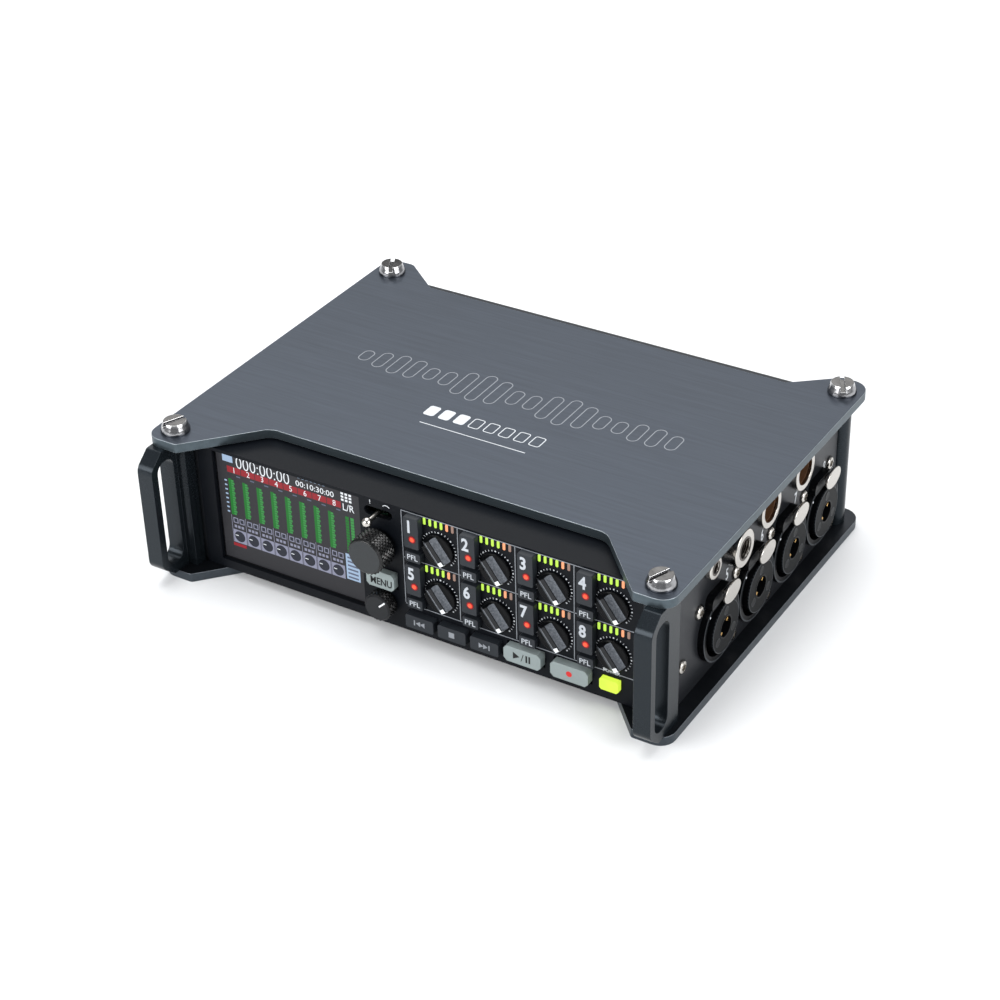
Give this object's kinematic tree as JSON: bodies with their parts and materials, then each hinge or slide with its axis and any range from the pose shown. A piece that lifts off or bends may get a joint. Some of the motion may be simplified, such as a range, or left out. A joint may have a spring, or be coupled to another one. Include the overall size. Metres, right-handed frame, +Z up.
{
  "type": "portable field recorder",
  "caption": "Flat rugged audio recorder with front handles, a lit screen, channel strips of keys and pointer knobs, side jacks and a rear battery drawer.",
  "frame": {"origin": "centre of the footprint at the underside of the bottom plate", "axes": "+Z up, the controls face -Y, +X is the operator's right"},
  "size_m": [0.1782, 0.1404, 0.0535],
  "materials": {
    "plate_blue": "brushed dark blue-grey aluminium plate, satin",
    "frame_grey": "fine satin charcoal powder coat",
    "screen_glass": "clear glossy window over a lit colour display",
    "inner_metal": "plain sheet metal can",
    "lamp_green": "lit yellow-green and orange light pipes",
    "jack_black": "black moulded nylon",
    "nickel": "bright nickel plate",
    "bolt_chrome": "black nickel plate, polished",
    "board_green": "solder resist on glass epoxy",
    "knob_black": "satin black moulding with a white pointer",
    "key_grey": "dark grey moulded key with light print",
    "key_light": "pale grey moulded key",
    "key_lit": "lit yellow-green key",
    "cell_wrap": "printed film sleeve"
  },
  "bodies": {
    "case": {"top_plate": "plate_blue", "bottom_plate": "plate_blue", "left_handle": "frame_grey", "right_handle": "frame_grey", "rear_posts": "frame_grey", "left_side_panel": "frame_grey", "right_side_panel": "frame_grey", "rear_panel": "frame_grey", "front_panel": "frame_grey", "screen_window": "screen_glass", "display_module": "inner_metal", "level_lamps": "lamp_green", "combo_jacks": "jack_black", "main_out_sockets": "nickel", "phone_jacks": "nickel", "rear_sockets": "nickel", "case_screws": "nickel", "plate_bolts": "bolt_chrome", "circuit_boards": "board_green"},
    "trim_knob_1": {"trim_knob_1": "knob_black"},
    "track_key_1": {"track_key_1": "key_grey"},
    "pfl_key_1": {"pfl_key_1": "key_grey"},
    "trim_knob_2": {"trim_knob_2": "knob_black"},
    "track_key_2": {"track_key_2": "key_grey"},
    "pfl_key_2": {"pfl_key_2": "key_grey"},
    "trim_knob_3": {"trim_knob_3": "knob_black"},
    "track_key_3": {"track_key_3": "key_grey"},
    "pfl_key_3": {"pfl_key_3": "key_grey"},
    "trim_knob_4": {"trim_knob_4": "knob_black"},
    "track_key_4": {"track_key_4": "key_grey"},
    "pfl_key_4": {"pfl_key_4": "key_grey"},
    "trim_knob_5": {"trim_knob_5": "knob_black"},
    "track_key_5": {"track_key_5": "key_grey"},
    "pfl_key_5": {"pfl_key_5": "key_grey"},
    "trim_knob_6": {"trim_knob_6": "knob_black"},
    "track_key_6": {"track_key_6": "key_grey"},
    "pfl_key_6": {"pfl_key_6": "key_grey"},
    "trim_knob_7": {"trim_knob_7": "knob_black"},
    "track_key_7": {"track_key_7": "key_grey"},
    "pfl_key_7": {"pfl_key_7": "key_grey"},
    "trim_knob_8": {"trim_knob_8": "knob_black"},
    "track_key_8": {"track_key_8": "key_grey"},
    "pfl_key_8": {"pfl_key_8": "key_grey"},
    "rewind_key": {"rewind_key": "key_grey"},
    "stop_key": {"stop_key": "key_grey"},
    "forward_key": {"forward_key": "key_grey"},
    "play_key": {"play_key": "key_light"},
    "record_key": {"record_key": "key_light"},
    "power_key": {"power_key": "key_lit"},
    "menu_key": {"menu_key": "key_light"},
    "dial_shaft": {"dial_shaft": "nickel"},
    "select_dial": {"select_dial": "knob_black"},
    "volume_knob": {"volume_knob": "knob_black"},
    "slate_switch": {"slate_switch": "nickel"},
    "left_latches": {"left_latches": "nickel"},
    "right_latches": {"right_latches": "nickel"},
    "card_cover": {"card_cover": "frame_grey"},
    "battery_drawer": {"battery_cover": "frame_grey", "battery_sled": "jack_black", "battery_cells": "cell_wrap"}
  },
  "joints": [
    {"name": "trim_1", "type": "hinge", "parent": "case", "child": "trim_knob_1", "pos_m": [0.0098, -0.0544, 0.0361], "axis": [0, 1, 0], "range_deg": [-270, 0]},
    {"name": "trim_2", "type": "hinge", "parent": "case", "child": "trim_knob_2", "pos_m": [0.0289, -0.0544, 0.0361], "axis": [0, 1, 0], "range_deg": [-270, 0]},
    {"name": "trim_3", "type": "hinge", "parent": "case", "child": "trim_knob_3", "pos_m": [0.048, -0.0544, 0.0361], "axis": [0, 1, 0], "range_deg": [-270, 0]},
    {"name": "trim_4", "type": "hinge", "parent": "case", "child": "trim_knob_4", "pos_m": [0.0671, -0.0544, 0.0361], "axis": [0, 1, 0], "range_deg": [-270, 0]},
    {"name": "trim_5", "type": "hinge", "parent": "case", "child": "trim_knob_5", "pos_m": [0.0098, -0.0544, 0.01955], "axis": [0, 1, 0], "range_deg": [-270, 0]},
    {"name": "trim_6", "type": "hinge", "parent": "case", "child": "trim_knob_6", "pos_m": [0.0289, -0.0544, 0.01955], "axis": [0, 1, 0], "range_deg": [-270, 0]},
    {"name": "trim_7", "type": "hinge", "parent": "case", "child": "trim_knob_7", "pos_m": [0.048, -0.0544, 0.01955], "axis": [0, 1, 0], "range_deg": [-270, 0]},
    {"name": "trim_8", "type": "hinge", "parent": "case", "child": "trim_knob_8", "pos_m": [0.0671, -0.0544, 0.01955], "axis": [0, 1, 0], "range_deg": [-270, 0]},
    {"name": "track_press_1", "type": "slide", "parent": "case", "child": "track_key_1", "axis": [0, 1, 0], "range_m": [0, 0.0006], "stiffness_N_per_m": 150, "springref_m": -0.001},
    {"name": "track_press_2", "type": "slide", "parent": "case", "child": "track_key_2", "axis": [0, 1, 0], "range_m": [0, 0.0006], "stiffness_N_per_m": 150, "springref_m": -0.001},
    {"name": "track_press_3", "type": "slide", "parent": "case", "child": "track_key_3", "axis": [0, 1, 0], "range_m": [0, 0.0006], "stiffness_N_per_m": 150, "springref_m": -0.001},
    {"name": "track_press_4", "type": "slide", "parent": "case", "child": "track_key_4", "axis": [0, 1, 0], "range_m": [0, 0.0006], "stiffness_N_per_m": 150, "springref_m": -0.001},
    {"name": "track_press_5", "type": "slide", "parent": "case", "child": "track_key_5", "axis": [0, 1, 0], "range_m": [0, 0.0006], "stiffness_N_per_m": 150, "springref_m": -0.001},
    {"name": "track_press_6", "type": "slide", "parent": "case", "child": "track_key_6", "axis": [0, 1, 0], "range_m": [0, 0.0006], "stiffness_N_per_m": 150, "springref_m": -0.001},
    {"name": "track_press_7", "type": "slide", "parent": "case", "child": "track_key_7", "axis": [0, 1, 0], "range_m": [0, 0.0006], "stiffness_N_per_m": 150, "springref_m": -0.001},
    {"name": "track_press_8", "type": "slide", "parent": "case", "child": "track_key_8", "axis": [0, 1, 0], "range_m": [0, 0.0006], "stiffness_N_per_m": 150, "springref_m": -0.001},
    {"name": "pfl_press_1", "type": "slide", "parent": "case", "child": "pfl_key_1", "axis": [0, 1, 0], "range_m": [0, 0.0006], "stiffness_N_per_m": 150, "springref_m": -0.001},
    {"name": "pfl_press_2", "type": "slide", "parent": "case", "child": "pfl_key_2", "axis": [0, 1, 0], "range_m": [0, 0.0006], "stiffness_N_per_m": 150, "springref_m": -0.001},
    {"name": "pfl_press_3", "type": "slide", "parent": "case", "child": "pfl_key_3", "axis": [0, 1, 0], "range_m": [0, 0.0006], "stiffness_N_per_m": 150, "springref_m": -0.001},
    {"name": "pfl_press_4", "type": "slide", "parent": "case", "child": "pfl_key_4", "axis": [0, 1, 0], "range_m": [0, 0.0006], "stiffness_N_per_m": 150, "springref_m": -0.001},
    {"name": "pfl_press_5", "type": "slide", "parent": "case", "child": "pfl_key_5", "axis": [0, 1, 0], "range_m": [0, 0.0006], "stiffness_N_per_m": 150, "springref_m": -0.001},
    {"name": "pfl_press_6", "type": "slide", "parent": "case", "child": "pfl_key_6", "axis": [0, 1, 0], "range_m": [0, 0.0006], "stiffness_N_per_m": 150, "springref_m": -0.001},
    {"name": "pfl_press_7", "type": "slide", "parent": "case", "child": "pfl_key_7", "axis": [0, 1, 0], "range_m": [0, 0.0006], "stiffness_N_per_m": 150, "springref_m": -0.001},
    {"name": "pfl_press_8", "type": "slide", "parent": "case", "child": "pfl_key_8", "axis": [0, 1, 0], "range_m": [0, 0.0006], "stiffness_N_per_m": 150, "springref_m": -0.001},
    {"name": "rewind_press", "type": "slide", "parent": "case", "child": "rewind_key", "axis": [0, 1, 0], "range_m": [0, 0.0006], "stiffness_N_per_m": 150, "springref_m": -0.001},
    {"name": "stop_press", "type": "slide", "parent": "case", "child": "stop_key", "axis": [0, 1, 0], "range_m": [0, 0.0006], "stiffness_N_per_m": 150, "springref_m": -0.001},
    {"name": "forward_press", "type": "slide", "parent": "case", "child": "forward_key", "axis": [0, 1, 0], "range_m": [0, 0.0006], "stiffness_N_per_m": 150, "springref_m": -0.001},
    {"name": "play_press", "type": "slide", "parent": "case", "child": "play_key", "axis": [0, 1, 0], "range_m": [0, 0.0006], "stiffness_N_per_m": 150, "springref_m": -0.001},
    {"name": "record_press", "type": "slide", "parent": "case", "child": "record_key", "axis": [0, 1, 0], "range_m": [0, 0.0006], "stiffness_N_per_m": 150, "springref_m": -0.001},
    {"name": "power_press", "type": "slide", "parent": "case", "child": "power_key", "axis": [0, 1, 0], "range_m": [0, 0.0006], "stiffness_N_per_m": 150, "springref_m": -0.001},
    {"name": "menu_press", "type": "slide", "parent": "case", "child": "menu_key", "axis": [0, 1, 0], "range_m": [0, 0.0006], "stiffness_N_per_m": 150, "springref_m": -0.001},
    {"name": "dial_press", "type": "slide", "parent": "case", "child": "dial_shaft", "axis": [0, 1, 0], "range_m": [0, 0.0008], "stiffness_N_per_m": 300, "springref_m": -0.001},
    {"name": "dial_spin", "type": "hinge", "parent": "dial_shaft", "child": "select_dial", "pos_m": [-0.0108, -0.0544, 0.0314], "axis": [0, 1, 0], "continuous": true},
    {"name": "volume_turn", "type": "hinge", "parent": "case", "child": "volume_knob", "pos_m": [-0.0102, -0.0544, 0.0112], "axis": [0, 1, 0], "range_deg": [-195, 105]},
    {"name": "slate_tilt", "type": "hinge", "parent": "case", "child": "slate_switch", "pos_m": [-0.0109, -0.051, 0.0421], "axis": [0, 0, 1], "range_deg": [-20, 20], "stiffness_Nm_per_rad": 0.01},
    {"name": "left_latch_press", "type": "slide", "parent": "case", "child": "left_latches", "axis": [1, 0, 0], "range_m": [0, 0.0014], "stiffness_N_per_m": 200, "springref_m": -0.001},
    {"name": "right_latch_press", "type": "slide", "parent": "case", "child": "right_latches", "axis": [-1, 0, 0], "range_m": [0, 0.0014], "stiffness_N_per_m": 200, "springref_m": -0.001},
    {"name": "battery_slide", "type": "slide", "parent": "case", "child": "battery_drawer", "axis": [0, 1, 0], "range_m": [0, 0.055]},
    {"name": "card_door", "type": "hinge", "parent": "case", "child": "card_cover", "pos_m": [-0.0853, 0, 0.0352], "axis": [0, -1, 0], "range_deg": [0, 100]}
  ]
}
